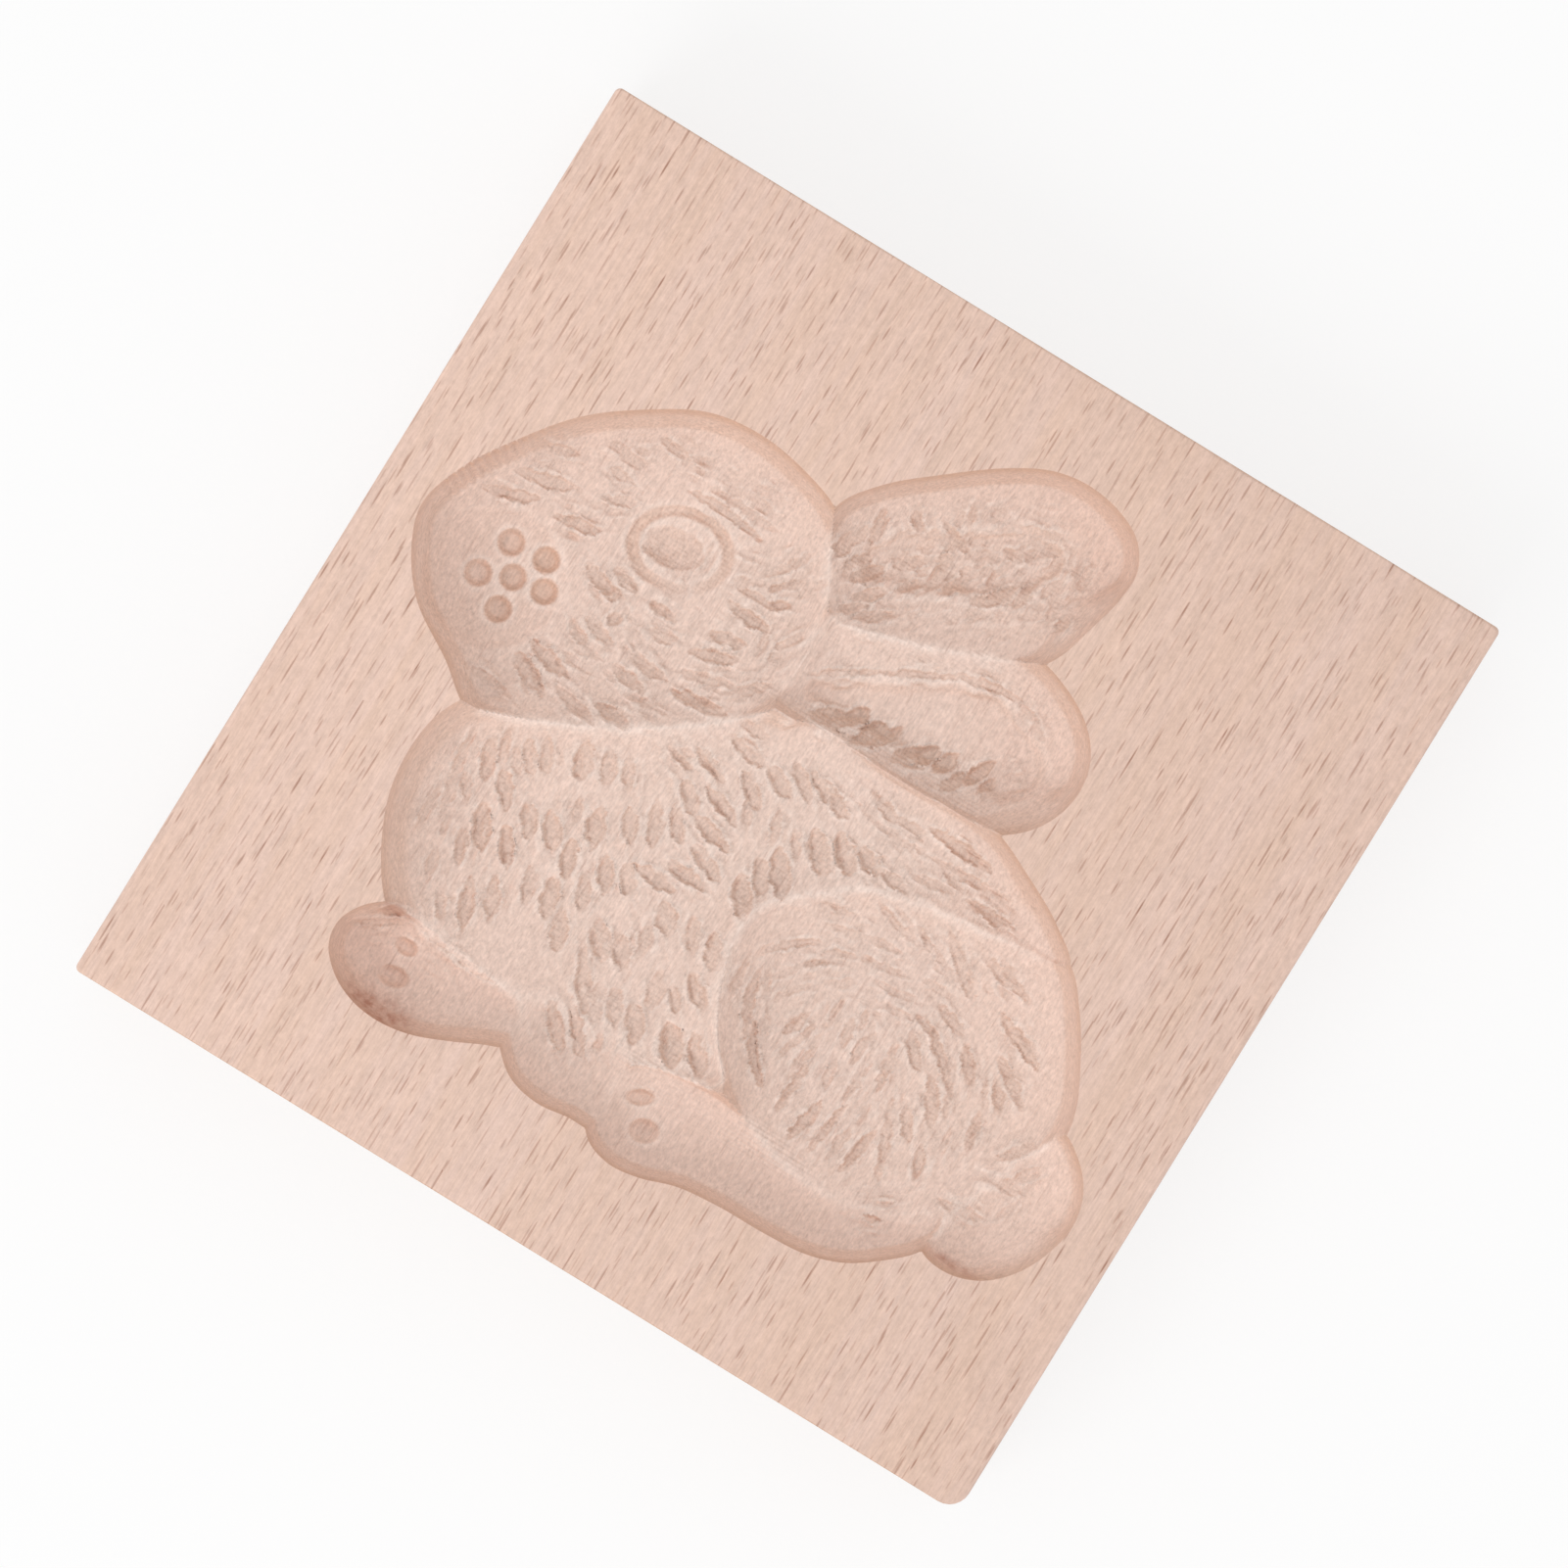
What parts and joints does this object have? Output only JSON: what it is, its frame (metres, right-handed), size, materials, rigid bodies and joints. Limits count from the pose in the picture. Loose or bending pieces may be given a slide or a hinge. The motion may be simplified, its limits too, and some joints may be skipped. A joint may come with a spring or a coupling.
{
  "type": "cookie mould",
  "caption": "Square wooden cookie mould: a beech block whose top face is hollowed into a sitting rabbit, for pressing a figure into dough.",
  "frame": {"origin": "centre of the block's bottom face", "axes": "+Z out of the carved face, +X from the rabbit's nose to its tail, +Y along the grain towards its ears"},
  "size_m": [0.1, 0.1, 0.02],
  "materials": {
    "beech": "bare smooth beech, unstained, with fine dark ray flecks along the grain"
  },
  "bodies": {
    "root": {"mould_block": "beech"}
  },
  "joints": []
}
